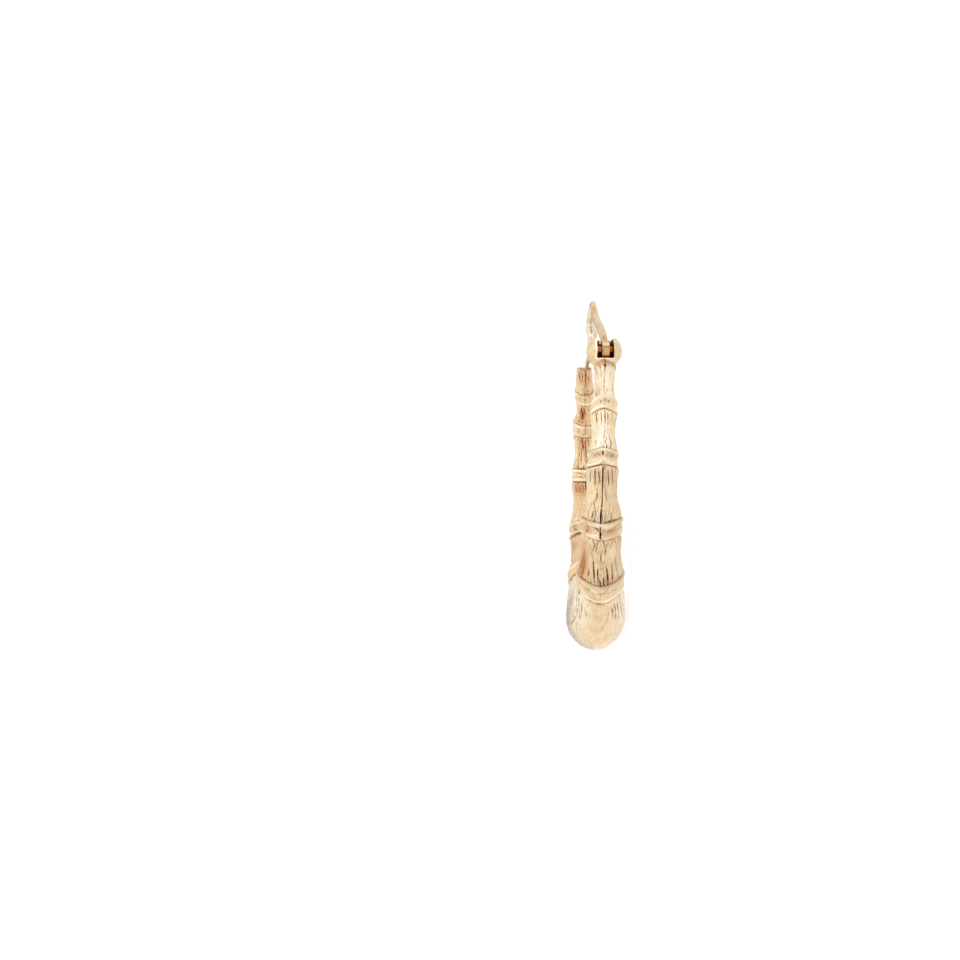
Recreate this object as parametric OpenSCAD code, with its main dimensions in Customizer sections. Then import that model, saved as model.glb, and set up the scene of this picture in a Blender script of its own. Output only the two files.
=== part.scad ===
/* [Hoop] */
// Radius of the hoop, to the middle of the bamboo cane
hoop_r = 13.2; // [12.5:0.1:15]
// Half width of the fat bottom length of cane
belly_half_w = 2.72; // [2.5:0.02:3]
// Radial half thickness for each mm of half width
thick_ratio = 1.05; // [0.95:0.01:1.12]
// Sharpness of the seam ridge, where the two stamped halves meet: 1 is round
ridge_power = 1.3; // [1:0.05:1.5]
// The same in the middle of the fat bottom length, where the seam is filed away
belly_ridge = 1.12; // [1:0.02:1.3]
// Sideways spring of each open end, in opposite directions
end_spring = 0.6; // [0.4:0.05:0.7]

/* [Bamboo joints] */
// Length of a joint's double ring along the cane
joint_len = 1.35; // [1.1:0.05:1.6]
// Height of the band between a joint's two rings, as a share of the ring
band_level = 0.93; // [0.88:0.01:0.98]
// Bottom of the crease beside a ring, as a share of the ring
crease_level = 0.86; // [0.82:0.01:0.95]
// Depth of the stamped fibre grooves at the flared ends, as a share of the radius
fibre_depth = 0.06; // [0:0.01:0.08]

/* [Hinge] */
// Radius of the hinge ball on the front end
ball_r = 1.64; // [1.6:0.02:1.8]
// Width of the slot in the ball
slot_w = 1.55; // [1.3:0.05:1.6]
// Radius of the hinge pin
pin_r = 0.3; // [0.2:0.01:0.34]
// Radial clearance of the latch on its pin
pin_clear = 0.03; // [0.02:0.01:0.05]

/* [Latch] */
// Thickness of the latch wire
wire_d = 0.72; // [0.6:0.02:0.8]
// Thickness of the latch eye, across the slot
eye_w = 0.72; // [0.5:0.02:0.9]
// Width of the snap kink, where the wire is hammered flat
flat_w = 1.05; // [0.7:0.05:1.15]
// How far the flat stands off the wire's middle, towards the side that the earring lies on
flat_side = 0.2; // [0:0.05:0.25]
// Thickness of the snap tip, across the catch hole
tip_w = 0.42; // [0.35:0.01:0.5]
// Width of the catch hole in the back end
catch_w = 0.56; // [0.54:0.01:0.7]

/* [Hidden] */
gold = "#d9b36a";
pale_gold = "#e6cd94";
$fn = 48;

// How the earring lies on its side, leaning on its belly and its hinge ball: its tilt about the
// front-to-back line and about the line up the hoop, and the way from the hoop's middle
lie_tilt = [-1.84, -1.34];
lie_shift = [0, -0.8, 2.317];

// Sides of the cane's section: every second corner is a fibre groove
cane_sides = 32;

// Half widths along one leg of the hoop, from the belly to the open end. Each row is a bamboo
// joint and the length of cane after it, which flares at both ends and is slim between them.
// Columns: angle of the joint from the hoop's lowest point, ring, flare after the joint,
// slimmest, place of the slimmest along the length, flare before the next joint, rings drawn
leg = [
    [46.3, 2.27, 2.17, 1.8, 0.6, 1.83, 9],
    [70.4, 1.98, 1.84, 1.37, 0.6, 1.56, 9],
    [95.9, 1.47, 1.42, 1.09, 0.5, 1.25, 8],
    [117.6, 1.25, 1.08, 0.94, 0.5, 0.98, 5]
];
// The front leg ends in a dome inside the hinge ball, over this many rings
front_end = 139.5;
dome_end = 147;
dome_rings = 6;
// The back leg has one more joint. It ends square, and is then filed flat on top at this height
back_joint = [134, 1.0, 0.92, 0.8, 0.7, 0.8, 6];
back_waist = 0.82;
back_end = 154;
back_top = 11.6;

// Where each leg's sideways spring starts and is full, by angle
front_spring = [86, 146];
back_spring = [60, 146];

// The fat length of cane at the bottom swells from these shoulders, over this many rings
shoulder = 2.12;
belly_fullness = 1.9;
belly_rings = 24;

// The double ring of a joint.
// Columns: place along the joint from -1 to 1, height as a share of the ring
ring_profile = [
    [-1, crease_level],
    [-0.86, 1],
    [-0.54, 1],
    [-0.36, band_level],
    [0.36, band_level],
    [0.54, 1],
    [0.86, 1],
    [1, crease_level]
];
// A length of cane starts this far from the joint's middle, in half joints
cane_start = 1.12;

// Hinge ball and pin, in the hoop's plane: x to the front, y to the top
ball_at = [7.96, 11.75];
pin_at = [7.96, 11.9];
ball_z = -0.5;
// The ball is filed flat on top, this far over its middle
ball_flat = 1.16;
// The latch stands a little to one side in its slot
eye_side = 0.1;
slot_floor = -0.74;
slot_reach = 10;
// The slot is closed this far behind the pin, but for a notch that the latch's arm leaves by:
// its lean, its depth under the middle of the arm, and its spare room beside it
slot_back = 0.91;
notch_lean = 137;
notch_depth = 0.4;
notch_clear = 0.04;
eye_r = 0.78;
pin_len = 3.06;
pin_fit = 0.02;

// The latch's plane runs from the ball to the back end, which spring apart sideways
latch_span = 16.2;
latch_yaw = atan((end_spring - ball_z) / latch_span);

// Middle line of the latch, from its pin over the ear's gap to the snap tip, and its section.
// Columns: x, y, width in the plane, thickness across it, how far it stands off the plane
latch_line = [
    [0, 0, wire_d, eye_w, 0],
    [-1.1, 1.15, wire_d, eye_w, 0],
    [-3.5, 2.4, wire_d, wire_d, 0],
    [-6.3, 3.5, wire_d, 0.68, 0],
    [-8.2, 4.6, 0.68, 0.6, 0],
    [-9.4, 5.42, 0.62, 0.52, 0],
    [-11.0, 5.0, 0.62, 0.7, 0.06],
    [-12.6, 3.9, 0.62, flat_w, flat_side],
    [-11.7, 2.4, 0.62, flat_w, flat_side],
    [-11.3, 1.2, 0.6, 0.66, 0.08],
    [-12.6, 0.5, 0.6, 0.5, 0],
    [-14.0, 0.25, 0.55, tip_w, 0],
    [-14.8, -0.2, 0.5, tip_w, 0],
    [-14.95, -0.78, 0.45, tip_w, 0]
];
latch_sides = 12;
latch_steps = 4;
// The catch hole in the back end, from the hinge pin: its far wall, its floor and its length
catch_back = -15.3;
catch_floor = -0.95;
catch_len = 0.82;

function lerp(a, b, t) = a + (b - a) * t;
function signed_pow(v, p) = sign(v) * pow(abs(v), p);

// Sideways offset of the cane's middle: the two legs spring apart towards their ends
function spring(phi) =
    let (
        leg_of = phi > 0 ? front_spring : back_spring,
        share = max(0, abs(phi) - leg_of[0]) / (leg_of[1] - leg_of[0])
    )
    -sign(phi) * end_spring * pow(share, 1.2);

function outward(phi) = [sin(phi), -cos(phi), 0];

function cane_middle(phi) = hoop_r * outward(phi) + [0, 0, spring(phi)];

// One ring of corners round the cane, grooved on every second corner
function cane_ring(phi, half_w, groove, sides_only = 0, ridge = ridge_power) = [
    for (i = [0:cane_sides - 1])
        let (
            a = 360 * i / cane_sides,
            side = lerp(1, pow(sin(a), 2), sides_only),
            cut = 1 - (i % 2) * groove * side,
            across = half_w * signed_pow(sin(a), ridge) * cut,
            out = half_w * thick_ratio * cos(a) * cut
        )
        cane_middle(phi) + out * outward(phi) + [0, 0, across]
];

// Angle along the hoop of a distance from a joint's middle, in half joints
function joint_angle(half_joints) = half_joints * joint_len / 2 / hoop_r * 180 / PI;

// Half width along a length of cane, at t from 0 to 1, that rolls in to a crease at both ends
function cane_half_w(row, t) =
    let (
        slim_at = row[4],
        from_start = pow(max(0, 1 - t / slim_at), 1.8),
        from_end = pow(max(0, (t - slim_at) / (1 - slim_at)), 1.8),
        roll = 1 - 0.08 * pow(abs(2 * t - 1), 14)
    )
    (row[3] + (row[2] - row[3]) * from_start + (row[5] - row[3]) * from_end) * roll;

// Rings of a length of cane between two angles on one leg: side is 1 in front, -1 at the back
function length_rings(row, from, to, side) = [
    for (k = [0:row[6] + 1])
        let (
            t = k / (row[6] + 1),
            groove = fibre_depth * (0.3 + 0.7 * pow(abs(2 * t - 1), 2))
        )
        cane_ring(side * lerp(from, to, t), cane_half_w(row, t), groove)
];

function joint_rings(row, side) = [
    for (p = ring_profile)
        cane_ring(side * (row[0] + joint_angle(p[0])), row[1] * p[1], 0)
];

// Rings of a joint and the length of cane after it, up to an angle
function step_rings(row, to, side) = concat(
    joint_rings(row, side),
    length_rings(row, row[0] + joint_angle(cane_start), to, side)
);

function leg_rings(rows, end, side) = [
    for (j = [0:len(rows) - 1])
        each step_rings(
            rows[j],
            j < len(rows) - 1 ? rows[j + 1][0] - joint_angle(cane_start) : end,
            side
        )
];

function reversed(list) = [for (i = [len(list) - 1:-1:0]) list[i]];

front_leg = leg_rings(leg, front_end, 1);
back_rows = [
    leg[0],
    leg[1],
    leg[2],
    [leg[3][0], leg[3][1], 1.2, back_waist, 0.5, 0.96, 6],
    back_joint
];
back_leg = leg_rings(back_rows, back_end, -1);
front_dome = [
    for (k = [1:dome_rings])
        let (u = k / dome_rings)
        cane_ring(lerp(front_end, dome_end, u), leg[3][5] * sqrt(1.15 - u * u), 0)
];
belly_from = leg[0][0] - joint_angle(cane_start);
belly = [
    for (k = [0:belly_rings])
        let (
            u = 2 * k / belly_rings - 1,
            swell = 1 - pow(abs(u), belly_fullness),
            half_w = lerp(shoulder, belly_half_w, swell) * (1 - 0.06 * pow(abs(u), 20)),
            groove = fibre_depth * pow(abs(u), 5)
        )
        cane_ring(u * belly_from, half_w, groove, 1, lerp(ridge_power, belly_ridge, swell))
];
cane_rings = concat(reversed(back_leg), belly, front_leg, front_dome);

// A closed skin over a row of rings that all have the same number of corners
module skin(rings) {
    n = len(rings[0]);
    last = len(rings) - 1;
    points = [for (r = rings) each r];
    walls = [
        for (k = [0:last - 1], i = [0:n - 1])
            let (
                a = k * n + i,
                b = k * n + (i + 1) % n
            )
            each [[a, b, b + n], [a, b + n, a + n]]
    ];
    start_cap = [for (i = [n - 1:-1:0]) i];
    end_cap = [for (i = [0:n - 1]) last * n + i];
    polyhedron(points, [start_cap, each walls, end_cap], convexity = 10);
}

// A smooth line through the rows of a table, with every column carried along
function spline_at(rows, k, t) =
    let (
        p0 = rows[max(k - 1, 0)],
        p1 = rows[k],
        p2 = rows[k + 1],
        p3 = rows[min(k + 2, len(rows) - 1)]
    )
    0.5 * (2 * p1 + (p2 - p0) * t + (2 * p0 - 5 * p1 + 4 * p2 - p3) * t * t
        + (3 * p1 - p0 - 3 * p2 + p3) * t * t * t);

latch_path = [
    for (k = [0:len(latch_line) - 2], s = [0:latch_steps - 1])
        spline_at(latch_line, k, s / latch_steps),
    latch_line[len(latch_line) - 1]
];

// One ring of corners round the latch wire, square to its run
function latch_ring(k) =
    let (
        here = latch_path[k],
        ahead = latch_path[min(k + 1, len(latch_path) - 1)],
        behind = latch_path[max(k - 1, 0)],
        way = [ahead[0] - behind[0], ahead[1] - behind[1]],
        run = way / norm(way),
        side = [-run[1], run[0], 0]
    )
    [
        for (i = [0:latch_sides - 1])
            let (a = 360 * (i + 0.5) / latch_sides)
            [here[0], here[1], 0]
                + side * here[2] / 2 * signed_pow(cos(a), 0.8)
                - [0, 0, here[4] + here[3] / 2 * signed_pow(sin(a), 0.8)]
    ];

// Places its children in the latch's plane, with the hinge pin at the middle
module at_hinge() {
    translate([pin_at[0], pin_at[1], ball_z - eye_side])
        rotate([0, latch_yaw, 0])
            children();
}

// Lays the earring down on its side as it rests
module laid() {
    translate(lie_shift)
        rotate([lie_tilt[0], lie_tilt[1], 0])
            children();
}

// Across is the direction of the pin
module across_cylinder(r, len) {
    cylinder(r = r, h = len, center = true);
}

module cane() {
    difference() {
        skin(cane_rings);
        translate([-hoop_r, back_top, -hoop_r / 2])
            cube([hoop_r, hoop_r, hoop_r]);
    }
}

module ball() {
    translate([ball_at[0], ball_at[1], ball_z])
        difference() {
            sphere(r = ball_r);
            translate([-ball_r, ball_flat, -ball_r])
                cube(2 * ball_r);
        }
}

module bamboo_hoop() {
    color(gold) laid() difference() {
        union() {
            cane();
            ball();
        }
        at_hinge() {
            translate([-slot_back, ball_at[1] - pin_at[1] + slot_floor, eye_side - slot_w / 2])
                cube([slot_reach, slot_reach, slot_w]);
            translate([0, 0, -eye_w / 2 - notch_clear])
                rotate([0, 0, notch_lean])
                    translate([0, notch_depth - slot_reach, 0])
                        cube([slot_reach, slot_reach, eye_w + 2 * notch_clear]);
            across_cylinder(pin_r + pin_fit, 2 * slot_reach);
            translate([catch_back, catch_floor, -catch_w / 2])
                cube([catch_len, slot_reach, catch_w]);
        }
    }
}

module hinge_pin() {
    color(gold) laid() at_hinge()
        translate([0, 0, eye_side])
            across_cylinder(pin_r, pin_len);
}

module latch_bar() {
    color(pale_gold) laid() at_hinge() difference() {
        union() {
            across_cylinder(eye_r, eye_w);
            skin([for (k = [0:len(latch_path) - 1]) latch_ring(k)]);
        }
        across_cylinder(pin_r + pin_clear, slot_reach);
    }
}

bamboo_hoop();
hinge_pin();
latch_bar();
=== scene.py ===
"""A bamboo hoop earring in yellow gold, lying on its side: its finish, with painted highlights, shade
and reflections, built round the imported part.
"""

import itertools
import math

import bpy
import numpy as np
from mathutils import Matrix, Vector


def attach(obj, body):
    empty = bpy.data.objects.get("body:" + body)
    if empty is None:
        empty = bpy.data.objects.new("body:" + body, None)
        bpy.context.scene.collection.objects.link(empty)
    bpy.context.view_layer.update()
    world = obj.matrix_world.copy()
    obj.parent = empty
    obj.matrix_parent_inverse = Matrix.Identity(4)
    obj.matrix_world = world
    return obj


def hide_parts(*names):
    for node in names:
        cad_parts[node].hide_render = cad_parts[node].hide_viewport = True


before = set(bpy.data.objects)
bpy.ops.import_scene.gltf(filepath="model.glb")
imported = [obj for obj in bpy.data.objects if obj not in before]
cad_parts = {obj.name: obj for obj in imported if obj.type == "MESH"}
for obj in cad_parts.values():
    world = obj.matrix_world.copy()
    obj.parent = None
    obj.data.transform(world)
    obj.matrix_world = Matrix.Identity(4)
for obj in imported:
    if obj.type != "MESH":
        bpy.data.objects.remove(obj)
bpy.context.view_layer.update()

# Sizes are in millimetres and angles in degrees, in the hoop's own plane: x to the front, y to the
# top, z to the left as the front is seen. lay_down() then takes a piece to its place, in metres.
MM = 0.001
LIE_TILT = (-1.84, -1.34)
LIE_SHIFT = (0, -0.8, 2.317)

# The hoop of cane: radius of its middle line, thickness to width, how sharp its ridge is at the seam
# on the legs and on the belly, where 1 is round, and how far that ridge is tumbled, in half widths
HOOP_R = 13.2
THICK_RATIO = 1.05
RIDGE_POWER = 1.3
BELLY_RIDGE = 1.12
SEAM_ROUNDING = 0.3
# The legs spring apart towards their ends: how far, between which angles, and how late
END_SPRING = 0.6
FRONT_SPRING = (86, 146)
BACK_SPRING = (60, 146)
SPRING_CURVE = 1.2
# The fat length at the bottom: half width in its middle and at its ends, and how full it is between
BELLY_HALF_W = 2.72
SHOULDER = 2.12
BELLY_FULLNESS = 1.9
# How late a length of cane flares, and how deep and how late it rolls in to a crease at its ends
FLARE_CURVE = 1.8
ROLL_IN = 0.08
ROLL_CURVE = 14
BELLY_ROLL_IN = 0.06
BELLY_ROLL_CURVE = 20

# Each row is a bamboo joint and the length of cane after it: angle of the joint, ring half width,
# flare after the joint, slimmest, its place along the length, flare before the next joint
LEG = (
    (46.3, 2.27, 2.17, 1.8, 0.6, 1.83),
    (70.4, 1.98, 1.84, 1.37, 0.6, 1.56),
    (95.9, 1.47, 1.42, 1.09, 0.5, 1.25),
    (117.6, 1.25, 1.08, 0.94, 0.5, 0.98),
)
BACK_LAST = ((117.6, 1.25, 1.2, 0.82, 0.5, 0.96), (134, 1.0, 0.92, 0.8, 0.7, 0.8))
# Where the legs end: the front one in a dome inside the ball, with how full that is, and the back
# one filed flat on top
FRONT_END = 139.5
DOME_END = 147
DOME_FULLNESS = 1.15
BACK_END = 154
BACK_TOP = 11.6

# The double ring of a joint, in half joints from its middle
JOINT_LEN = 1.35
RING_AT = 0.68
RING_HALF = 0.26
BAND_LEVEL = 0.925
CREASE_LEVEL = 0.87
CREASE_AT = 1.05
CANE_START = 1.12

# Width of the dark crease beside a joint, partly patina and partly painted shade, and where on the
# joint it starts, in half joints
CREASE_W = 0.1
CREASE_FROM = 0.92
# The brown corners of a joint's band, partly patina and partly painted shade: where they are and
# how wide, in half joints, and how brown
BAND_CORNER = (0.4, 0.1, 0.35)
# Chasing left a joint's rings swaying, in half joints, and dimples that fade out at its edges
RING_SWAY = 0.45
SWAY_SIZE = 0.9
JOINT_DIMPLE = 0.03
DIMPLE_SIZE = 0.3
DIMPLE_EDGE = 0.3
# Where a joint is worn: size of the places, the heights of the noise between which they begin, how
# far its rings are worn down, and to which level. Elsewhere its rings are made smoother and painted
# paler as a highlight, from a level up
WORN_SIZE = 0.8
WORN_EDGE = (-0.1, 0.7)
WORN_DOWN = 0.7
WORN_LEVEL = BAND_LEVEL + 0.02
RING_BRIGHT = 0.6
BRIGHT_LEVEL = 0.965

# How far a joint's rings are drawn along the cane, mostly where they cross the seam.
# Columns: angle, degrees along the hoop, reach along the hoop, reach round the cane
RING_PEAKS = (
    (46.3, -1.1, 4.5, 55),
    (42.6, -1.3, 2.4, 130),
    (70.4, -0.9, 4.5, 55),
    (95.9, 1.2, 4.5, 55),
    (117.6, 0.5, 4.5, 55),
    (-70.4, 0.8, 4.5, 55),
    (-95.9, -0.9, 4.5, 55),
)

# Hinge ball, slot, pin and catch
BALL_R = 1.64
BALL_AT = (7.96, 11.75, -0.5)
BALL_FLAT = 1.16
PIN_AT = (7.96, 11.9)
PIN_HOLE_R = 0.33
SLOT_W = 1.55
SLOT_FLOOR = -0.89
SLOT_BACK = 0.91
EYE_SIDE = 0.1
EYE_R = 0.78
EYE_W = 0.72
NOTCH_LEAN = 137
NOTCH_DEPTH = 0.4
NOTCH_CLEAR = 0.04
LATCH_SPAN = 16.2
LATCH_YAW = math.atan((END_SPRING - BALL_AT[2]) / LATCH_SPAN)
CATCH_BACK = -15.3
CATCH_FLOOR = -0.95
CATCH_W = 0.56
CATCH_LEN = 0.82
# How much further the slot is cut into the leg than into the ball, so that the leg doesn't show in it
LEG_CLEAR = 0.03
# Longer than anything that a cutter goes through
REACH = 10

# Middle line of the latch from its pin, and its section: x, y, width in its plane, thickness
# across it, and how far it stands off the plane
LATCH_LINE = (
    (0, 0, 0.72, 0.72, 0),
    (-1.1, 1.15, 0.72, 0.72, 0),
    (-3.5, 2.4, 0.72, 0.72, 0),
    (-6.3, 3.5, 0.72, 0.68, 0),
    (-8.2, 4.6, 0.68, 0.6, 0),
    (-9.4, 5.42, 0.62, 0.52, 0),
    (-11.0, 5.0, 0.62, 0.7, 0.06),
    (-12.6, 3.9, 0.62, 1.05, 0.2),
    (-11.7, 2.4, 0.62, 1.05, 0.2),
    (-11.3, 1.2, 0.6, 0.66, 0.08),
    (-12.6, 0.5, 0.6, 0.5, 0),
    (-14.0, 0.25, 0.55, 0.42, 0),
    (-14.8, -0.2, 0.5, 0.42, 0),
    (-14.95, -0.78, 0.45, 0.42, 0),
)
LATCH_SQUARENESS = 0.8

# How fine the meshes are, how near the ball's poles its rows start, in radians, how many times
# tumbling smooths a mesh, and the angle of an edge that is kept sharp
CANE_SIDES = 220
ROW_STEP = 0.08
JOINT_ROWS = 27
DOME_ROWS = 9
ROD_SIDES = 64
LATCH_SIDES = 28
LATCH_STEPS = 12
LATCH_VOXEL = 0.035
LATCH_TUMBLED = 5
BALL_ROWS = 60
BALL_SIDES = 96
BALL_POLE = 0.02
BALL_VOXEL = 0.045
BALL_TUMBLED = 4
SHARP_OVER = 60

# Seeds of the random draws. A length's or a joint's further draws count on from its seed
FRONT_SEED = 80
BACK_SEED = 50
BELLY_SEED = 7
LUMP_SEED = 3
MOTTLE_SEED = 5
HAMMER_SEEDS = (11, 12)
BALL_SEED = 21
LATCH_SEED = 22

# Turns round the cane, in radians
ROUND = np.linspace(0, 2 * np.pi, CANE_SIDES, endpoint=False)
# The same turns from -180 to 180 degrees: 0 is the seam on the outside of the hoop
TURN = (np.degrees(ROUND) + 180) % 360 - 180


def lay_down():
    """The turn and shift that lay the earring on its side, in metres."""
    about_x = Matrix.Rotation(math.radians(LIE_TILT[0]), 4, "X")
    about_y = Matrix.Rotation(math.radians(LIE_TILT[1]), 4, "Y")
    return Matrix.Scale(MM, 4) @ Matrix.Translation(LIE_SHIFT) @ about_y @ about_x


def at_hinge():
    """The latch's plane, with the hinge pin at the middle."""
    place = Matrix.Translation((PIN_AT[0], PIN_AT[1], BALL_AT[2] - EYE_SIDE))
    return place @ Matrix.Rotation(LATCH_YAW, 4, "Y")


def soft_noise(points, cell, seed):
    """Smooth random heights from -1 to 1 at points, with one hump to a cell."""
    size = 32
    lattice = np.random.default_rng(seed).uniform(-1, 1, (size, size, size))
    place = np.asarray(points) / cell
    low = np.floor(place).astype(int)
    share = place - low
    share = share * share * (3 - 2 * share)
    height = 0
    for corner in np.ndindex(2, 2, 2):
        weight = np.prod(np.where(corner, share, 1 - share), axis=-1)
        at = (low + corner) % size
        height = height + weight * lattice[at[..., 0], at[..., 1], at[..., 2]]
    return height


def smooth_step(value, low, high):
    """0 up to low and 1 from high, with a smooth rise between them."""
    share = np.clip((value - low) / (high - low), 0, 1)
    return share * share * (3 - 2 * share)


def spring(phi):
    """Sideways offset of the cane's middle: the two legs spring apart towards their ends."""
    start = np.where(phi > 0, FRONT_SPRING[0], BACK_SPRING[0])
    full = np.where(phi > 0, FRONT_SPRING[1], BACK_SPRING[1])
    share = np.maximum(0, np.abs(phi) - start) / (full - start)
    return -np.sign(phi) * END_SPRING * share ** SPRING_CURVE


def cane_points(phi, half_w, ridge):
    """Points of the cane's skin, by rows along the hoop and columns round the cane."""
    turn = np.radians(phi)
    outward = np.stack([np.sin(turn), -np.cos(turn), 0 * turn], -1)
    sideways = np.array([0, 0, 1])
    round_at_seam = (np.sin(ROUND) ** 2 + SEAM_ROUNDING ** 2) / (1 + SEAM_ROUNDING ** 2)
    across = half_w * np.sin(ROUND) * round_at_seam ** ((ridge - 1) / 2)
    out = HOOP_R + half_w * THICK_RATIO * np.cos(ROUND)
    return out[..., None] * outward + (across + spring(phi))[..., None] * sideways


def joint_angle(half_joints):
    """Angle along the hoop of a distance in half joints."""
    return np.degrees(half_joints * JOINT_LEN / 2 / HOOP_R)


def cane_half_w(row, t):
    """Half width along a length of cane, that rolls in to a crease at both ends."""
    flare, slim, slim_at, next_flare = row[2:6]
    from_start = np.maximum(0, 1 - t / slim_at) ** FLARE_CURVE
    from_end = np.maximum(0, (t - slim_at) / (1 - slim_at)) ** FLARE_CURVE
    roll = 1 - ROLL_IN * np.abs(2 * t - 1) ** ROLL_CURVE
    return (slim + (flare - slim) * from_start + (next_flare - slim) * from_end) * roll


# The lips that a tool raises beside its mark: how far off and how wide, in half widths of the mark,
# and how high, as a share of its depth
GROOVE_LIP_AT = 2
STROKE_LIP_AT = 2.1
LIP_W = 0.8
GROOVE_LIP = 0.3
STROKE_LIP = 0.25


def lips(off, width, at):
    """The lips beside a mark, 1 high."""
    return np.exp(-(((np.abs(off) - at * width) / (LIP_W * width)) ** 2))


def groove(off, width):
    """A rounded groove with raised lips, 1 deep at its middle."""
    return np.exp(-((off / width) ** 2)) - GROOVE_LIP * lips(off, width, GROOVE_LIP_AT)


# The stamped fibre of the cane. First the strong grooves that start at both ends of a length: pitch,
# depth, half width, the share of its reach over which one fades, and how far it sways, in radians
GROOVE_PITCH = 0.36
GROOVE_DEPTH = 0.075
GROOVE_W = 0.06
GROOVE_FADE = 0.8
GROOVE_SWAY = 0.07
# How they differ: place in pitches, reach in lengths of cane, waves and phase of the sway in
# radians, and half width and depth as shares
GROOVE_SHIFT = (-0.4, 0.4)
GROOVE_REACH = (0.3, 1.0)
GROOVE_WAVES = (8, 22)
GROOVE_PHASE = (0, 6)
GROOVE_THICK = (0.7, 1.4)
GROOVE_STRONG = (0.25, 1.0)
# Then the fine broken lines all over it. Their half width, and where the ridges beside them are full,
# are heights of the noise that draws them. A second noise breaks them, between two of its heights
LINE_PITCH = 0.33
LINE_LEN = 2.0
LINE_DEPTH = 0.055
LINE_SWAY = 0.14
LINE_SWAY_SIZE = 0.6
LINE_HALF = 0.2
LINE_RIDGE = 0.5
LINE_RIDGE_TO = 0.5
LINE_BREAKS = (-0.8, 0.1)
# How strong they are in the middle of a length, and how late they grow to full at its ends
LINE_MIDDLE = 0.5
LINE_GROWTH = 1.4
# Last the beads that the worn punch left between them, in patches that begin between two heights of
# a noise
BEAD_SIZE = 0.22
BEAD_HEIGHT = 0.025
PATCH_SIZE = 5 * BEAD_SIZE
PATCH_EDGE = (-0.3, 0.5)
# How strong all these are on the fat length: its grooves at the seam and on its shoulders, its fine
# lines in the middle and how much more at the ends, and its beads. How much its shoulders are painted
# paler as highlights, and made smoother, and where that begins, from 0 in its middle to 1 at its ends
BELLY_SEAM_GROOVES = 0.08
BELLY_GROOVES = 1.2
BELLY_LINES = 0.45
BELLY_END_LINES = 0.4
BELLY_BEADS = 0.8
SHOULDER_BRIGHT = 0.7
SHOULDER_FROM = (0.4, 0.8)


def end_grooves(t, half_w, seed):
    """Depth of the strong grooves, which sway and fade towards the middle of a length."""
    rng = np.random.default_rng(seed)
    count = round(2 * np.pi * half_w.mean() / GROOVE_PITCH)
    depth = np.zeros((len(t), CANE_SIDES))
    for k in range(2 * count):
        end = k % 2
        turn = np.radians(360 * (k // 2 + rng.uniform(*GROOVE_SHIFT)) / count)
        reach = rng.uniform(*GROOVE_REACH)
        from_end = np.abs(end - t)
        fade = smooth_step(1 - from_end / reach, 0, GROOVE_FADE)
        waves = rng.uniform(*GROOVE_WAVES)
        phase = rng.uniform(*GROOVE_PHASE)
        sway = turn + GROOVE_SWAY * np.sin(from_end * waves + phase)
        off = (ROUND[None, :] - sway[:, None] + np.pi) % (2 * np.pi) - np.pi
        line = groove(off * half_w[:, None], GROOVE_W * rng.uniform(*GROOVE_THICK))
        depth += GROOVE_DEPTH * rng.uniform(*GROOVE_STRONG) * fade[:, None] * line
    return depth


def skin_points(along, half_w):
    """Places on the cane as if it were straight, for patterns that run along it."""
    return np.stack([along, half_w * np.cos(ROUND), half_w * np.sin(ROUND)], -1)


def fine_lines(along, half_w, seed):
    """Depth of fine broken lines along the cane, where a stretched noise crosses nought."""
    points = skin_points(along * LINE_PITCH / LINE_LEN, half_w)
    sway = soft_noise(points * (LINE_LEN / LINE_PITCH, 1, 1), LINE_SWAY_SIZE, seed + 4)
    height = soft_noise(points + LINE_SWAY * sway[..., None], LINE_PITCH, seed)
    ridges = LINE_RIDGE * smooth_step(np.abs(height), LINE_HALF, LINE_RIDGE_TO)
    line = np.exp(-((height / LINE_HALF) ** 2)) - ridges
    broken = smooth_step(soft_noise(points + 9, 3 * LINE_PITCH, seed + 1), *LINE_BREAKS)
    return LINE_DEPTH * line * broken


def beads(along, half_w, seed):
    """Depth of the dimples between the beads, in patches."""
    points = skin_points(along, half_w)
    patch = smooth_step(soft_noise(points, PATCH_SIZE, seed + 2), *PATCH_EDGE)
    return BEAD_HEIGHT * (1 - soft_noise(points, BEAD_SIZE, seed + 3)) * patch


def stretch(phi, half_w, cut, ridge=RIDGE_POWER, polish_and_highlight=0.0, crease=0.0):
    """A stretch of the cane's skin. cut is how deep its marks are, in mm."""
    rows = len(phi)
    everywhere = np.zeros((rows, CANE_SIDES))
    return dict(
        phi=phi,
        half_w=half_w + everywhere,
        cut=cut + everywhere,
        ridge=ridge + np.zeros(rows),
        polish_and_highlight=polish_and_highlight + everywhere,
        crease=crease + everywhere,
    )


def length_stretch(row, start, end, side, seed):
    """A length of cane between two joints."""
    length = math.radians(end - start) * HOOP_R
    t = np.linspace(0, 1, round(length / ROW_STEP))
    half_w = cane_half_w(row, t)
    phi = side * (start + (end - start) * t)
    wide = half_w[:, None] + 0 * ROUND
    along = np.radians(phi)[:, None] * HOOP_R + 0 * ROUND
    near_end = np.abs(2 * t - 1)[:, None] ** LINE_GROWTH
    strong = LINE_MIDDLE + (1 - LINE_MIDDLE) * near_end
    cut = end_grooves(t, half_w, seed) + strong * fine_lines(along, wide, seed)
    from_end = np.minimum(t, 1 - t)[:, None] * length
    # dark creases at the ends of a length: partly patina, partly painted shade
    crease = 1 - smooth_step(from_end, 0, CREASE_W)
    return stretch(phi, wide, cut + beads(along, wide, seed), crease=crease)


def ring_height(p):
    """Height of a joint's double ring, by the place along it in half joints."""
    off = np.abs(p)
    ridge = np.exp(-(((off - RING_AT) / RING_HALF) ** 4))
    inner = BAND_LEVEL + (1 - BAND_LEVEL) * ridge
    edge = np.clip((off - RING_AT) / (CREASE_AT - RING_AT), 0, 1)
    outer = CREASE_LEVEL + (1 - CREASE_LEVEL) * np.sqrt(1 - edge ** 3)
    return np.where(off < RING_AT, inner, outer)


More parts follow.
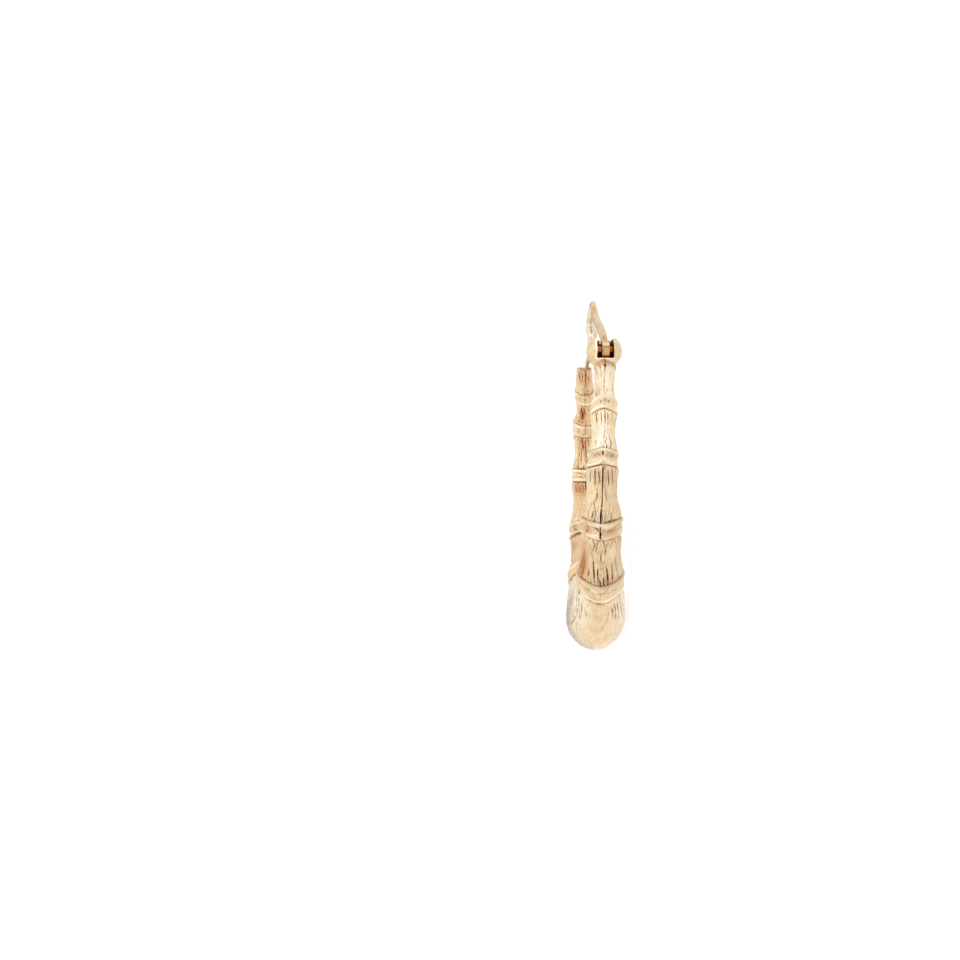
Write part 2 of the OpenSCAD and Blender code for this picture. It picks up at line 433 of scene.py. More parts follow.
def joint_stretch(row, side, seed):
    """A joint's double ring, chased by hand: it sways, and it is worn low in places."""
    p = np.linspace(-CREASE_AT, CREASE_AT, JOINT_ROWS)[:, None]
    rim = np.stack([np.cos(ROUND), np.sin(ROUND), 0 * ROUND], -1) * row[1]
    place = rim + p[..., None] * (0, 0, JOINT_LEN / 2)
    sway = RING_SWAY * soft_noise(rim, SWAY_SIZE, seed)
    swayed = np.clip(p + sway * (1 - np.abs(p)), -CREASE_AT, CREASE_AT)
    worn = smooth_step(soft_noise(place, WORN_SIZE, seed + 5), *WORN_EDGE)
    height = ring_height(swayed)
    height = height + WORN_DOWN * worn * (WORN_LEVEL - height) * (height > WORN_LEVEL)
    inward = smooth_step(1 - np.abs(p), 0, DIMPLE_EDGE)
    dimples = JOINT_DIMPLE * soft_noise(place, DIMPLE_SIZE, seed + 6) * inward
    # the joint's dark creases and band corners: partly patina, partly painted shade
    outer = smooth_step(np.abs(swayed), CREASE_FROM, CREASE_AT)
    at, wide, brown = BAND_CORNER
    inner = brown * np.exp(-(((np.abs(swayed) - at) / wide) ** 2))
    # painted highlight on the rings where they are not worn, which are also made smoother
    painted_highlight = RING_BRIGHT * (1 - worn) * smooth_step(height, BRIGHT_LEVEL, 1)
    phi = side * (row[0] + joint_angle(p[:, 0]))
    return stretch(phi, row[1] * height, dimples, polish_and_highlight=painted_highlight, crease=np.maximum(outer, inner))


def leg_stretches(rows, end, side, seed):
    """Joints and lengths of one leg, from the belly to the open end."""
    made = []
    for j, row in enumerate(rows):
        length_end = rows[j + 1][0] - joint_angle(CANE_START) if j + 1 < len(rows) else end
        length_start = row[0] + joint_angle(CANE_START)
        made.append(joint_stretch(row, side, seed + j))
        made.append(length_stretch(row, length_start, length_end, side, seed + 20 + j))
    return made


def belly_stretch(seed):
    """The fat length of cane at the bottom: grooved on its shoulders, filed smooth in the middle."""
    reach = LEG[0][0] - joint_angle(CANE_START)
    rows = round(math.radians(2 * reach) * HOOP_R / ROW_STEP)
    u = np.linspace(-1, 1, rows)
    swell = 1 - np.abs(u) ** BELLY_FULLNESS
    roll = 1 - BELLY_ROLL_IN * np.abs(u) ** BELLY_ROLL_CURVE
    half_w = (SHOULDER + (BELLY_HALF_W - SHOULDER) * swell) * roll
    along = np.radians(u * reach)[:, None] * HOOP_R + 0 * ROUND
    shoulders = BELLY_SEAM_GROOVES + (1 - BELLY_SEAM_GROOVES) * np.sin(ROUND) ** 2
    near_end = np.abs(u)[:, None]
    cut = BELLY_GROOVES * end_grooves((u + 1) / 2, half_w, seed) * shoulders
    wide = half_w[:, None] + 0 * ROUND
    strong = BELLY_LINES + BELLY_END_LINES * near_end ** 3
    cut = cut + fine_lines(along, wide, seed) * strong + BELLY_BEADS * beads(along, wide, seed)
    ridge = RIDGE_POWER + (BELLY_RIDGE - RIDGE_POWER) * swell
    # painted highlight on the shoulders, which are also made smoother
    painted_highlight = SHOULDER_BRIGHT * smooth_step(near_end, *SHOULDER_FROM) * np.sin(ROUND) ** 2
    # dark creases at the belly's ends: partly patina, partly painted shade
    crease = 1 - smooth_step((1 - near_end) * math.radians(reach) * HOOP_R, 0, CREASE_W)
    return stretch(u * reach, half_w[:, None], cut, ridge, polish_and_highlight=painted_highlight, crease=crease)


def turned(stretches):
    """The same stretches in the other order, for the leg that runs down from its open end."""
    return [{key: rows[::-1] for key, rows in s.items()} for s in reversed(stretches)]


def dome_stretch():
    """The front leg's end, a dome inside the hinge ball."""
    u = np.linspace(0, 1, DOME_ROWS)[1:]
    half_w = LEG[3][5] * np.sqrt(DOME_FULLNESS - u * u)
    return stretch(FRONT_END + (DOME_END - FRONT_END) * u, half_w[:, None], 0)


# The seam of the two stamped halves wanders a little: angle along the hoop, turn round the cane
SEAM_LINE = (
    (0, 0), (42, 1), (60, 5), (68, 10), (75, 9), (80, 3), (90, 1), (98, 4), (110, -5), (122, 7), (137, 1)
)
SEAM_W = 0.045
SEAM_DEPTH = 0.05
# It is filed away on the belly, up to these angles
SEAM_FILED = (28, 44)

# Marks that the punch and the graver left, each a straight stroke. A depth under nought is raised.
# Columns: angle and turn where it starts, the same where it ends, half width, depth
STROKES = (
    # length under the ball: brown lines beside its two bright lobes, and the nick at its top
    (137.4, 0, 136.6, 2, 0.13, 0.16),
    (135, 54, 129, 44, 0.05, 0.08),
    (129, 44, 122.6, 50, 0.05, 0.08),
    (134, -40, 129, -44, 0.05, 0.08),
    (129, -44, 123.4, -62, 0.05, 0.08),
    (133, 30, 127, 24, 0.04, 0.05),
    (132, -22, 125, -26, 0.04, 0.04),
    (136, 8, 122, 7, 0.05, 0.05),
    # top joint: three dots in its band
    (118.1, 24, 118.1, 24, 0.1, 0.14),
    (118.6, -3, 118.6, -3, 0.11, 0.16),
    (118.1, -25, 118.1, -25, 0.1, 0.14),
    # second length
    (114.2, 20, 108.5, 17, 0.045, 0.08),
    (114.2, -3, 109, -7, 0.045, 0.1),
    (114.2, -20, 108.5, -25, 0.045, 0.08),
    (114.2, 40, 107, 54, 0.05, 0.09),
    (107, 54, 99.4, 36, 0.05, 0.08),
    (114.2, -46, 107, -30, 0.05, 0.09),
    (107, -30, 99.4, -46, 0.05, 0.08),
    (103, 12, 99.2, 16, 0.045, 0.07),
    (104, -10, 99.2, -18, 0.045, 0.06),
    # second joint: a deep spot and worn hollows in its band
    (97.8, 4, 97.4, 4, 0.11, 0.18),
    (97.2, 44, 96.6, 38, 0.12, 0.1),
    (97.5, 27, 96.9, 20, 0.11, 0.1),
    (96.9, -20, 97.3, -27, 0.11, 0.1),
    (96.7, -38, 97.2, -46, 0.12, 0.1),
    # third length: the open seam at its top, long grooves beside it, the almond gap at its foot
    (92.6, 2, 85.4, 1, 0.055, 0.22),
    (85.4, 1, 77.4, 6, 0.045, 0.1),
    (92.2, 35, 86.4, 38, 0.055, 0.13),
    (92.2, 22, 86.4, 15, 0.05, 0.11),
    (92.2, -21, 86, -31, 0.06, 0.14),
    (92.2, -38, 86, -50, 0.055, 0.12),
    (92.2, 52, 87, 60, 0.055, 0.1),
    (86.4, -11, 80, -20, 0.05, 0.1),
    (85, 26, 79, 30, 0.045, 0.07),
    (77.4, 8, 73.2, 9, 0.08, 0.28),
    (76.6, 16, 74.6, 19, 0.09, -0.05),
    (76.6, 0, 74.6, -4, 0.1, -0.05),
    (77, -30, 73.4, -34, 0.05, 0.09),
    (78, 36, 73.4, 42, 0.05, 0.09),
    # third joint: the hook on its left, the gap at the seam, the worn hollow on its right
    (72.7, 62, 71.9, 48, 0.07, 0.12),
    (71.9, 48, 70, 51, 0.07, 0.12),
    (70, 51, 68.6, 59, 0.07, 0.12),
    (68.6, 59, 68, 50, 0.06, 0.1),
    (71.8, 9, 70, 10, 0.05, 0.14),
    (70, 10, 67.6, 8, 0.09, 0.3),
    (70.9, 26, 70, 15, 0.13, 0.1),
    (69.6, 16, 68.6, 15, 0.07, -0.05),
    (70.9, -14, 69.6, -36, 0.16, 0.08),
    (72.6, -58, 70.6, -62, 0.07, 0.12),
    # fourth length: the grooves that rise from its foot
    (58.6, 32, 50, 22, 0.06, 0.15),
    (56, 16, 49.4, 12, 0.05, 0.12),
    (56, -19, 49.4, -23, 0.06, 0.15),
    (58, -36, 49, -35, 0.055, 0.12),
    (53, -7, 49, -8, 0.05, 0.13),
    (51.6, 4, 49, 3, 0.05, 0.13),
    (55, 44, 49.4, 40, 0.05, 0.1),
    (60, -50, 49.4, -52, 0.05, 0.1),
    (66.4, 20, 62, 24, 0.045, 0.06),
    (66.4, -16, 61, -12, 0.045, 0.06),
    # worn ridges between the grooves of the four lengths
    (134, 19, 124, 16, 0.15, -0.05),
    (134, -15, 124, -13, 0.15, -0.05),
    (134, 40, 126, 36, 0.09, -0.04),
    (113, 9, 101, 5, 0.13, -0.05),
    (112, -12, 101, -11, 0.12, -0.05),
    (112, 30, 102, 26, 0.1, -0.04),
    (112, -36, 102, -30, 0.1, -0.04),
    (92, 12, 86, 8, 0.1, -0.05),
    (92, -10, 86, -12, 0.1, -0.05),
    (92, 29, 86, 26, 0.09, -0.05),
    (92, -30, 86, -40, 0.09, -0.05),
    (84, 14, 78, 19, 0.12, -0.04),
    (84, -7, 78, -9, 0.12, -0.04),
    (57, 24, 49.6, 17, 0.1, -0.05),
    (57, -1, 50, -2, 0.1, -0.05),
    (57, -28, 49.6, -29, 0.1, -0.05),
    (62, 40, 52, 33, 0.1, -0.05),
    (62, -43, 52, -44, 0.1, -0.05),
    # hollow on the left of the fourth length, where an orange reflection is painted
    (61.5, 64, 49.5, 84, 0.07, 0.12),
    (58, 60, 48.8, 62, 0.06, 0.12),
    (55, 72, 49, 70, 0.05, 0.09),
    # fat joint: the line along its band, and the nicks in its lower crease
    (45.7, 52, 46.4, 20, 0.05, 0.09),
    (46.4, 20, 45.7, 0, 0.05, 0.09),
    (45.7, 0, 46.3, -20, 0.05, 0.09),
    (46.3, -20, 45.4, -50, 0.05, 0.09),
    (41.6, 40, 41, 24, 0.07, 0.1),
    (41.4, 14, 41.4, 2, 0.07, 0.12),
    (41.3, -6, 41.2, -20, 0.07, 0.12),
    (41.5, -28, 41.2, -44, 0.07, 0.1),
    (44.4, 60, 42, 71, 0.06, 0.1),
    (42, 71, 39.8, 70, 0.09, 0.14),
    # belly: the streaks on its two shoulders, and small pits under the fat joint
    (36, 84, 25, 68, 0.07, 0.12),
    (38.5, 73, 27, 58, 0.07, 0.14),
    (38.5, 63, 28, 51, 0.06, 0.13),
    (38, 54, 30, 46, 0.05, 0.1),
    (28, 84, 16, 66, 0.05, 0.08),
    (24, 60, 15, 48, 0.05, 0.07),
    (20, 76, 10, 60, 0.05, 0.06),
    (38.6, -35, 31, -37, 0.05, 0.11),
    (38.8, -43, 28.5, -46, 0.06, 0.13),
    (38, -51, 27.5, -55, 0.06, 0.14),
    (37, -60, 26, -65, 0.06, 0.12),
    (35, -70, 26, -75, 0.06, 0.1),
    (26, -44, 18, -40, 0.05, 0.06),
    (24, -58, 15, -52, 0.05, 0.06),
    # the worn ridges between those streaks
    (38, 79, 27, 63, 0.1, -0.06),
    (38.5, 68, 28, 54, 0.09, -0.06),
    (38, 58.5, 31, 48, 0.09, -0.05),
    (30, 76, 18, 60, 0.1, -0.05),
    (38.5, -39, 30, -41, 0.09, -0.05),
    (38.5, -47, 28.5, -50, 0.1, -0.06),
    (37.5, -55.5, 27, -60, 0.1, -0.06),
    (36.5, -65, 26, -70, 0.1, -0.05),
    # the edge where the filed middle starts, from the fat joint's corner down to the left
    (40, 52, 31, 30, 0.06, 0.07),
    (31, 30, 24, 12, 0.06, 0.05),
    (38, -28, 30, -20, 0.06, 0.05),
    (37.2, 15, 37, 15, 0.05, 0.06),
    (35.8, -10, 35.6, -10, 0.05, 0.05),
    (34, 28, 33.6, 28, 0.05, 0.05),
    # back leg, on its inner face: the square end's leaf and lines
    (-152, 128, -147, 133, 0.05, 0.08),
    (-147, 133, -144.4, 142, 0.05, 0.09),
    (-151, 152, -147.4, 160, 0.05, 0.08),
    (-147.4, 160, -144.6, 148, 0.05, 0.08),
    (-154, 189, -140.4, 193, 0.05, 0.1),
    (-150, 216, -143, 218, 0.05, 0.06),
    # its last joint, and the brown leaf in the waist below it
    (-139.8, 189, -138.9, 236, 0.05, 0.12),
    (-137, 118, -136.8, 168, 0.06, 0.1),
    (-135.4, 124, -135.6, 160, 0.05, 0.08),
    (-136.6, 196, -135, 226, 0.06, 0.08),
    (-129.4, 156, -125.4, 133, 0.06, 0.12),
    (-129.4, 168, -125.4, 184, 0.06, 0.12),
    (-127.4, 158, -122.8, 152, 0.1, 0.14),
    (-122.2, 134, -121.8, 170, 0.05, 0.1),
    # the hollow in the joint under it, and the streaks of the length that follows
    (-118.8, 138, -118.8, 160, 0.05, 0.08),
    (-118.8, 138, -115.8, 134, 0.05, 0.08),
    (-115.8, 134, -115.4, 158, 0.05, 0.08),
    (-114, 156, -108.8, 163, 0.09, 0.12),
    (-113.2, 136, -104, 133, 0.045, 0.08),
    (-109, 148, -100.6, 150, 0.045, 0.07),
    (-113, 178, -104, 182, 0.05, 0.09),
    # two bracket marks of the next joint
    (-100.6, 131, -99.4, 131, 0.05, 0.08),
    (-99.4, 131, -99.3, 164, 0.05, 0.1),
    (-99.3, 164, -100.6, 164, 0.05, 0.08),
    (-97, 128, -97, 163, 0.05, 0.1),
    (-97, 128, -95.3, 131, 0.05, 0.08),
    (-95.3, 131, -95.3, 163, 0.05, 0.08),
    # hatching of the two wide lengths, and the loop between them
    (-92, 128, -88, 123, 0.05, 0.1),
    (-92.2, 138, -87.6, 134, 0.05, 0.1),
    (-92.4, 148, -87.6, 144, 0.05, 0.1),
    (-92.4, 158, -88, 154, 0.05, 0.1),
    (-86, 120, -76, 126, 0.04, 0.06),
    (-86, 145, -76, 146, 0.04, 0.06),
    (-72.8, 124, -70.8, 120, 0.06, 0.1),
    (-70.8, 120, -69, 130, 0.06, 0.12),
    (-72.8, 124, -71, 133, 0.06, 0.08),
    (-69, 132, -68.6, 138, 0.08, 0.14),
    (-64, 107, -59, 112, 0.05, 0.1),
    (-64, 118, -58.4, 122, 0.05, 0.1),
    (-63.6, 129, -59, 131, 0.05, 0.09),
)

# Brown in the cane's hollows, partly stains and partly painted shade, and orange painted as the warm
# reflection of the gold on itself: angle, turn, radius along the cane and across it, how brown and how
# orange
STAINS_SHADE_AND_REFLECTION = (
    (97.2, 34, 0.35, 0.9, 0.45, 0.3),
    (97.2, -32, 0.35, 0.9, 0.45, 0.3),
    (70.2, -26, 0.4, 0.9, 0.35, 0.5),
    (70.2, 52, 0.5, 0.6, 0.3, 0.5),
    (55, 66, 1.9, 0.6, 0.4, 1.0),
    (50, 0, 0.7, 2.0, 0.35, 0.1),
    (41, 0, 0.16, 1.9, 0.5, 0.3),
    (118.3, 0, 0.25, 1.0, 0.3, 0.2),
    (89.6, 0, 0.9, 1.0, 0.3, 0.0),
    (137.6, 0, 0.4, 1.0, 0.3, 0.3),
    (20, 0, 4.5, 2.2, 0.0, 0.2),
    (34, 0, 1.2, 1.6, 0.1, 0.15),
    (-146, 214, 1.4, 0.5, 0.0, 0.6),
    (-147, 148, 1.1, 0.4, 0.1, 0.6),
    (-136.6, 214, 0.3, 0.5, 0.25, 0.6),
    (-125.6, 157, 1.3, 0.45, 0.3, 1.0),
    (-122.2, 150, 0.3, 0.8, 0.25, 0.7),
    (-117.2, 148, 0.5, 0.5, 0.05, 0.4),
    (-111.4, 160, 1.3, 0.4, 0.1, 0.9),
    (-90, 142, 1.2, 0.9, 0.12, 0.8),
    (-70.6, 128, 0.5, 0.5, 0.3, 0.6),
    (-61, 118, 1.2, 0.6, 0.1, 0.6),
)

# Painted highlights on the cane: angle, turn, radius along the cane and across it, how pale
PAINTED_HIGHLIGHTS = (
    (129, 0, 3.0, 1.1, 0.6),
    (111, 0, 1.2, 0.8, 0.25),
    (103.5, 4, 2.2, 1.1, 0.65),
    (75, 20, 0.7, 0.5, 0.4),
    (75, -2, 0.7, 0.4, 0.4),
    (32, 66, 2.6, 0.9, 0.6),
    (32, -60, 2.6, 0.9, 0.7),
)

# How much shallower a long stroke gets at its ends, and how many half widths make it a long one
STROKE_TAPER = 0.6
LONG_STROKE = 4


def wrapped(turn):
    """The same turn round the cane, from -180 to 180 degrees."""
    return (turn + 180) % 360 - 180


def soft_spot(along, turn, half_w, at, at_turn, long, wide):
    """A soft spot on the cane's skin, 1 at its middle."""
    off = (along - math.radians(at) * HOOP_R) / long
    side = np.radians(wrapped(turn - at_turn)) * half_w / wide
    return np.exp(-(off ** 2 + side ** 2))


def strokes(along, turn, half_w):
    """Depth of the punch's and the graver's marks."""
    depth = np.zeros(half_w.shape)
    for from_phi, from_turn, to_phi, to_turn, width, deep in STROKES:
        start = math.radians(from_phi) * HOOP_R
        if not along.min() - 1 < start < along.max() + 1:
            continue
        ahead = along - start
        run = math.radians(to_phi - from_phi) * HOOP_R
        middle_w = half_w[np.abs(ahead[:, 0]).argmin(), 0]
        aside = np.radians(wrapped(turn - from_turn)) * middle_w
        rise = math.radians(to_turn - from_turn) * middle_w
        length = math.hypot(run, rise) + 1e-6
        share = np.clip((ahead * run + aside * rise) / length ** 2, 0, 1)
        off = np.hypot(ahead - share * run, aside - share * rise)
        taper = 1 - STROKE_TAPER * np.abs(2 * share - 1) ** 3 if length > LONG_STROKE * width else 1
        mark = deep * taper * np.exp(-((off / width) ** 2))
        raised = STROKE_LIP * deep * taper * lips(off, width, STROKE_LIP_AT)
        depth = (np.maximum(depth, mark) if deep > 0 else depth + mark) - raised
    return depth


def stains_shade_and_reflection(along, turn, half_w):
    """How brown the cane's hollows are, from stains and painted shade, and how orange, from painted
    reflection, from 0 to 1.
    """
    brown = np.zeros(half_w.shape)
    orange = np.zeros(half_w.shape)
    for *place, how_brown, how_orange in STAINS_SHADE_AND_REFLECTION:
        spot = soft_spot(along, turn, half_w, *place)
        brown = np.maximum(brown, how_brown * spot)
        orange = np.maximum(orange, how_orange * spot)
    return brown, orange


def painted_highlights(along, turn, half_w):
    """How pale the cane is painted as highlights, from 0 to 1."""
    pale = np.zeros(half_w.shape)
    for *place, how_pale in PAINTED_HIGHLIGHTS:
        pale = np.maximum(pale, how_pale * soft_spot(along, turn, half_w, *place))
    return pale


def seam(phi, turn, half_w):
    """Depth of the fine seam on the outside and the inside of the hoop."""
    angles, turns = zip(*SEAM_LINE)
    outside = turn - np.interp(phi, angles, turns)
    inside = wrapped(turn - 180)
    line = 0
    for off in (outside, inside):
        line = np.maximum(line, groove(np.radians(off) * half_w, SEAM_W))
    return SEAM_DEPTH * line * smooth_step(np.abs(phi), *SEAM_FILED)


def grid_mesh(name, points):
    """A closed skin over a grid of points, rows along it and columns round it."""
    rows, sides = points.shape[:2]
    k, i = np.meshgrid(np.arange(rows - 1), np.arange(sides), indexing="ij")
    here = k * sides + i
    beside = k * sides + (i + 1) % sides
    faces = np.stack([here, here + sides, beside + sides, beside], -1).reshape(-1, 4).tolist()
    faces.append(list(range(sides)))
    faces.append(list(range(rows * sides - 1, (rows - 1) * sides - 1, -1)))
    mesh = bpy.data.meshes.new(name)
    mesh.from_pydata(points.reshape(-1, 3).tolist(), [], faces)
    return mesh


def set_attribute(mesh, name, values):
    """Stores a number or a vector for each point of a mesh."""
    kind, field = ("FLOAT_VECTOR", "vector") if np.ndim(values) == 2 else ("FLOAT", "value")
    attribute = mesh.attributes.new(name, kind, "POINT")
    attribute.data.foreach_set(field, np.asarray(values, dtype=np.float32).ravel())


def mesh_points(mesh):
    """The points of a mesh as an array."""
    points = np.empty(3 * len(mesh.vertices))
    mesh.vertices.foreach_get("co", points)
    return points.reshape(-1, 3)


def new_piece(name, mesh):
    """Shows a mesh as a piece of the scene."""
    piece = bpy.data.objects.new(name, mesh)
    bpy.context.scene.collection.objects.link(piece)
    return piece


def box_mesh(name, low, high, place):
    """A box by its lowest and highest corners."""
    points = [place @ Vector(corner) for corner in itertools.product(*zip(low, high))]
    faces = [(0, 1, 3, 2), (4, 6, 7, 5), (0, 4, 5, 1), (2, 3, 7, 6), (0, 2, 6, 4), (1, 5, 7, 3)]
    mesh = bpy.data.meshes.new(name)
    mesh.from_pydata(points, [], faces)
    return mesh


def rod_mesh(name, radius, half_len, place):
    """A round rod along z."""
    turn = np.linspace(0, 2 * np.pi, ROD_SIDES, endpoint=False)
    ring = np.stack([radius * np.cos(turn), radius * np.sin(turn), 0 * turn], -1)
    mesh = grid_mesh(name, np.stack([ring - (0, 0, half_len), ring + (0, 0, half_len)]))
    mesh.transform(place)
    return mesh


def applied(piece):
    """Makes the piece's modifiers part of its mesh."""
    bpy.context.view_layer.update()
    shown = piece.evaluated_get(bpy.context.evaluated_depsgraph_get())
    mesh = bpy.data.meshes.new_from_object(shown)
    piece.modifiers.clear()
    piece.data = mesh
    return piece


def combined(piece, mesh, operation):
    """Cuts the shape of a mesh out of a piece, or joins it on."""
    other = new_piece("other", mesh)
    change = piece.modifiers.new("change", "BOOLEAN")
    change.operation = operation
    change.solver = "EXACT"
    change.object = other
    applied(piece)
    bpy.data.objects.remove(other)
    return piece


def cut_away(piece, mesh):
    """Cuts the shape of a mesh out of a piece."""
    return combined(piece, mesh, "DIFFERENCE")


def softened(piece, voxel, rounds):
    """Remeshes a piece evenly and rounds its edges, as tumbling does."""
    even = piece.modifiers.new("even", "REMESH")
    even.mode = "VOXEL"
    even.voxel_size = voxel
    worn = piece.modifiers.new("worn", "SMOOTH")
    worn.factor = 0.5
    worn.iterations = rounds
    return applied(piece)


def smooth(piece):
    """Shades a piece smooth, with its hard edges kept sharp."""
    piece.data.shade_smooth()
    piece.data.set_sharp_from_angle(angle=math.radians(SHARP_OVER))
    return piece


def slot_boxes(spare=0.0):
    """The slot in the ball, and the notch behind it that the latch's arm leaves by."""
    low = (-SLOT_BACK - spare, SLOT_FLOOR - spare, EYE_SIDE - SLOT_W / 2 - spare)
    high = (REACH, REACH, EYE_SIDE + SLOT_W / 2 + spare)
    yield box_mesh("slot", low, high, at_hinge())
    half_w = EYE_W / 2 + NOTCH_CLEAR + spare
    lean = at_hinge() @ Matrix.Rotation(math.radians(NOTCH_LEAN), 4, "Z")
    yield box_mesh("notch", (0, -REACH, -half_w), (REACH, NOTCH_DEPTH + spare, half_w), lean)


# How uneven the stamped skin is: height in mm of its soft lumps, and their size
LUMP_HEIGHT = 0.032
LUMP_SIZE = 1.1
# How brown its mottling is, its size, and the heights of the noise between which it begins
MOTTLE = 0.16
MOTTLE_SIZE = 0.42
MOTTLE_EDGE = (0, 0.7)
# Painted shade over the two lengths above the belly: how dark they are all over, and between which
# angles that begins and ends
LENGTHS_SHADE = 0.13
LENGTHS_SHADE_FROM = (40, 52)
LENGTHS_SHADE_TO = (88, 100)
# Painted shade and a painted orange reflection on the inside of the hoop: between which turns round
# the cane it begins, how brown and how orange
INSIDE_FROM = (80, 150)
INSIDE_SHADE = 0.1
INSIDE_REFLECTION = 0.25
# How brown a mark gets, between two depths in mm, and a crease: partly patina, partly painted shade.
# How much paler a raised ridge is painted as a highlight, and made smoother, between two heights
MARK_BROWN = 0.9
BROWN_DEPTH = (0.015, 0.15)
CREASE_BROWN = 0.5
RIDGE_BRIGHT = 0.8
BRIGHT_HEIGHT = (0.008, 0.06)


def cane_piece(name, stretches):
    """One run of cane, from its stretches."""
    keys = ("phi", "half_w", "cut", "ridge", "polish_and_highlight", "crease")
    phi, half_w, cut, ridge, polish_and_highlight, crease = (np.concatenate([s[key] for s in stretches]) for key in keys)
    phi = phi[:, None] + 0 * ROUND
    for at, peak, reach, turn_reach in RING_PEAKS:
        at_seam = np.clip(1 - np.abs(TURN) / turn_reach, 0, 1)
        phi = phi + peak * np.exp(-(((phi - at) / reach) ** 2)) * at_seam
    along = np.radians(phi) * HOOP_R
    turn = TURN + 0 * half_w
    ridge = ridge[:, None]
    lumps = LUMP_HEIGHT * soft_noise(cane_points(phi, half_w, ridge), LUMP_SIZE, LUMP_SEED)
    cut = cut + seam(phi, turn, half_w) + strokes(along, turn, half_w)
    points = cane_points(phi, half_w + lumps - cut, ridge)
    # brown stains with painted shade, and painted orange reflection, in the hollows
    brown, orange = stains_shade_and_reflection(along, turn, half_w)
    # painted shade and painted reflection on the inside of the hoop
    inside = smooth_step(np.abs(turn), *INSIDE_FROM)
    grain = skin_points(along, half_w)
    from_belly = np.abs(phi)
    # painted shade over the lengths above the belly
    lengths_shade = LENGTHS_SHADE * smooth_step(from_belly, *LENGTHS_SHADE_FROM) * (1 - smooth_step(from_belly, *LENGTHS_SHADE_TO))
    mottle = MOTTLE * smooth_step(soft_noise(grain, MOTTLE_SIZE, MOTTLE_SEED), *MOTTLE_EDGE)
    # marks and creases darken, partly as patina and partly as painted shade
    marks = MARK_BROWN * smooth_step(cut, *BROWN_DEPTH)
    tarnish_and_shade = np.maximum.reduce([marks, CREASE_BROWN * crease, brown, INSIDE_SHADE * inside, mottle])
    tarnish_and_shade = tarnish_and_shade + lengths_shade * (1 - tarnish_and_shade)
    # painted highlights on raised ridges, rings, shoulders and the listed places, also made smoother
    ridges = RIDGE_BRIGHT * smooth_step(-cut, *BRIGHT_HEIGHT)
    pale = np.maximum.reduce([polish_and_highlight * (1 - crease), ridges, painted_highlights(along, turn, half_w)])
    mesh = grid_mesh(name, points)
    set_attribute(mesh, "grain", grain.reshape(-1, 3))
    set_attribute(mesh, "tarnish_and_shade", tarnish_and_shade.ravel())
    set_attribute(mesh, "painted_warm_reflection", np.maximum(orange, INSIDE_REFLECTION * inside).ravel())
    set_attribute(mesh, "polish_and_highlight", pale.ravel())
    return new_piece(name, mesh)


def first_row(stretches):
    """The first row of points of the first stretch, which closes another piece against it."""
    return {key: rows[:1] for key, rows in stretches[0].items()}


def front_leg():
    """The leg that carries the hinge ball."""
    piece = cane_piece("front_leg", leg_stretches(LEG, FRONT_END, 1, FRONT_SEED) + [dome_stretch()])
    for mesh in slot_boxes(LEG_CLEAR):
        cut_away(piece, mesh)
    piece.data.transform(lay_down())
    return smooth(piece)


def belly():
    """The fat length at the bottom, closed against both legs."""
    front = first_row(leg_stretches(LEG[:1], LEG[1][0], 1, FRONT_SEED))
    back = first_row(leg_stretches(LEG[:1], LEG[1][0], -1, BACK_SEED))
    piece = cane_piece("belly", [back, belly_stretch(BELLY_SEED), front])
    piece.data.transform(lay_down())
    return smooth(piece)


def back_leg():
    """The leg with the catch: its end is filed flat on top and cut for the latch's tip."""
    piece = cane_piece("back_leg", turned(leg_stretches(LEG[:3] + BACK_LAST, BACK_END, -1, BACK_SEED)))
    low = (-HOOP_R, BACK_TOP, -HOOP_R / 2)
    cut_away(piece, box_mesh("top", low, (0, 2 * HOOP_R, HOOP_R / 2), Matrix.Identity(4)))
    low = (CATCH_BACK, CATCH_FLOOR, -CATCH_W / 2)
    high = (CATCH_BACK + CATCH_LEN, REACH, CATCH_W / 2)
    cut_away(piece, box_mesh("catch", low, high, at_hinge()))
    piece.data.transform(lay_down())
    return smooth(piece)


# The slot's walls are painted dark as shade between these two depths under the ball's skin. Its floor
# keeps no painted shade, up to between two heights over it, and neither does the ball's flat top. A
# painted highlight runs round its mouth
SLOT_DARK_FROM = 0.05
SLOT_DARK_FULL = 0.25
FLOOR_UNSHADED = (0.03, 0.15)
TOP_UNSHADED = 0.08
SLOT_RIM = 0.13
# The ball has a painted orange reflection at one place, in radii from its middle
BALL_REFLECTION = 0.5
REFLECTION_AT = (0.6, -0.35, 0.72)
REFLECTION_REACH = 0.9

# Brown streaks that wear left on the ball and the latch: how wide, how brown, the heights of the
# noise between which they begin, and how finely they vary along x, y and z
STREAK_W = 0.12
STREAK_BROWN = 0.27
STREAK_EDGE = (0.1, 0.6)
BALL_STREAKS = (1, 0.3, 1)
LATCH_STREAKS = (0.2, 0.2, 1.3)


def streaks(points, along, seed):
    """How brown the streaks are at points. along is how finely they vary in each direction."""
    return STREAK_BROWN * smooth_step(soft_noise(points * along, STREAK_W, seed), *STREAK_EDGE)


